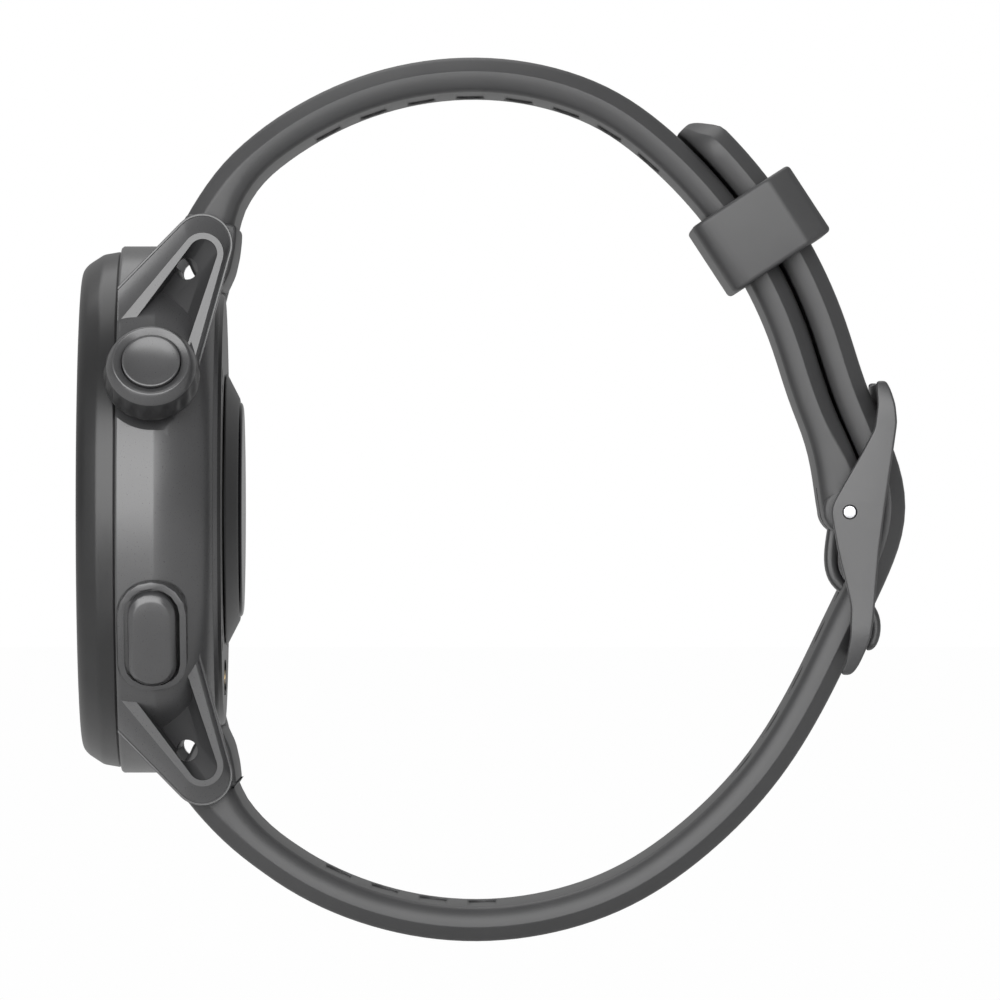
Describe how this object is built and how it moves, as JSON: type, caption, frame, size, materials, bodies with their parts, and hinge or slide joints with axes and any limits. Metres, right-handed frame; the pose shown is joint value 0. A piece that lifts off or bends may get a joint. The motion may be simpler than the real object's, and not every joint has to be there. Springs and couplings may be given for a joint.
{
  "type": "gps running watch",
  "caption": "Round running watch, buckled: hollow-lugged polymer case, crown, side button, rear optical sensor and tapered silicone strap with buckle and keeper.",
  "frame": {"origin": "centre of the sensor window's outer face, where the watch meets the wrist", "axes": "+Y out of the wrist side along the case axis, +Z to 12 o'clock, +X to 3 o'clock on the crown and button side"},
  "size_m": [0.044, 0.0656, 0.07],
  "materials": {
    "case_polymer": "fine matte fibre-reinforced polymer",
    "bezel_polymer": "fine satin polymer",
    "dark_glass": "polished",
    "silicone": "fine matte silicone",
    "steel": "fine brushed",
    "dark_steel": "dark coated, satin",
    "soft_seal": "matte",
    "circuit": "solder mask",
    "cell_wrap": "wrapped",
    "brass": "gold plated",
    "sensor_polymer": "satin",
    "screen": "dark"
  },
  "bodies": {
    "watch": {"mid_case": "case_polymer", "bezel": "bezel_polymer", "front_glass": "dark_glass", "glass_gasket": "soft_seal", "display_panel": "screen", "antenna_ring": "brass", "display_frame": "bezel_polymer", "main_board": "circuit", "shield_can": "steel", "battery": "cell_wrap", "vibration_motor": "dark_steel", "rear_cover": "bezel_polymer", "rear_gasket": "soft_seal", "rear_screw_1": "dark_steel", "rear_screw_2": "dark_steel", "rear_screw_3": "dark_steel", "rear_screw_4": "dark_steel", "sensor_housing": "sensor_polymer", "sensor_window": "dark_glass", "sensor_board": "circuit", "contact_block": "sensor_polymer", "contact_pin_1": "brass", "contact_pin_2": "brass", "contact_pin_3": "brass", "contact_pin_4": "brass", "crown_tube": "steel", "crown_encoder": "sensor_polymer", "button_surround": "case_polymer", "button_spring": "steel", "button_switch": "sensor_polymer", "strap_12": "silicone", "strap_6": "silicone", "spring_bar_12": "steel", "bar_spring_12": "steel", "spring_bar_6": "steel", "bar_spring_6": "steel"},
    "crown_slide": {"crown_o_ring": "soft_seal", "crown_washer": "steel"},
    "crown": {"crown_knob": "case_polymer", "crown_cap": "case_polymer", "crown_stem": "steel", "crown_clip": "steel"},
    "button": {"button_cap": "case_polymer", "button_plunger": "steel", "button_o_ring": "soft_seal", "button_clip": "steel"},
    "keeper_loop": {"keeper": "silicone"},
    "buckle": {"buckle_frame": "case_polymer", "buckle_pin": "steel"},
    "tongue": {"buckle_tongue": "dark_steel"},
    "release_12": {"release_pin_12": "steel"},
    "release_6": {"release_pin_6": "steel"}
  },
  "joints": [
    {"name": "crown_press", "type": "slide", "parent": "watch", "child": "crown_slide", "axis": [-0.8796, 0, -0.4756], "range_m": [0, 0.00045], "stiffness_N_per_m": 2500},
    {"name": "crown_spin", "type": "hinge", "parent": "crown_slide", "child": "crown", "pos_m": [0.01627, -0.00684, 0.0088], "axis": [0.8796, 0, 0.4756], "continuous": true},
    {"name": "button_press", "type": "slide", "parent": "watch", "child": "button", "axis": [-0.8755, 0, 0.4833], "range_m": [0, 0.0005], "stiffness_N_per_m": 3000, "deforming": ["button_spring"]},
    {"name": "keeper_slide", "type": "hinge", "parent": "watch", "child": "keeper_loop", "pos_m": [0, 0.00907, 0.00122], "axis": [1, 0, 0], "range_deg": [-13, 8]},
    {"name": "buckle_pivot", "type": "hinge", "parent": "watch", "child": "buckle", "pos_m": [0, 0.04802, -0.00019], "axis": [1, 0, 0], "range_deg": [-0.6, 0.6]},
    {"name": "tongue_pivot", "type": "hinge", "parent": "watch", "child": "tongue", "pos_m": [0, 0.04802, -0.00019], "axis": [1, 0, 0], "range_deg": [-0.6, 0.6]},
    {"name": "release_12_slide", "type": "slide", "parent": "watch", "child": "release_12", "axis": [1, 0, 0], "range_m": [-0.0011, 0], "stiffness_N_per_m": 400, "deforming": ["bar_spring_12"]},
    {"name": "release_6_slide", "type": "slide", "parent": "watch", "child": "release_6", "axis": [1, 0, 0], "range_m": [-0.0011, 0], "stiffness_N_per_m": 400, "deforming": ["bar_spring_6"]}
  ]
}
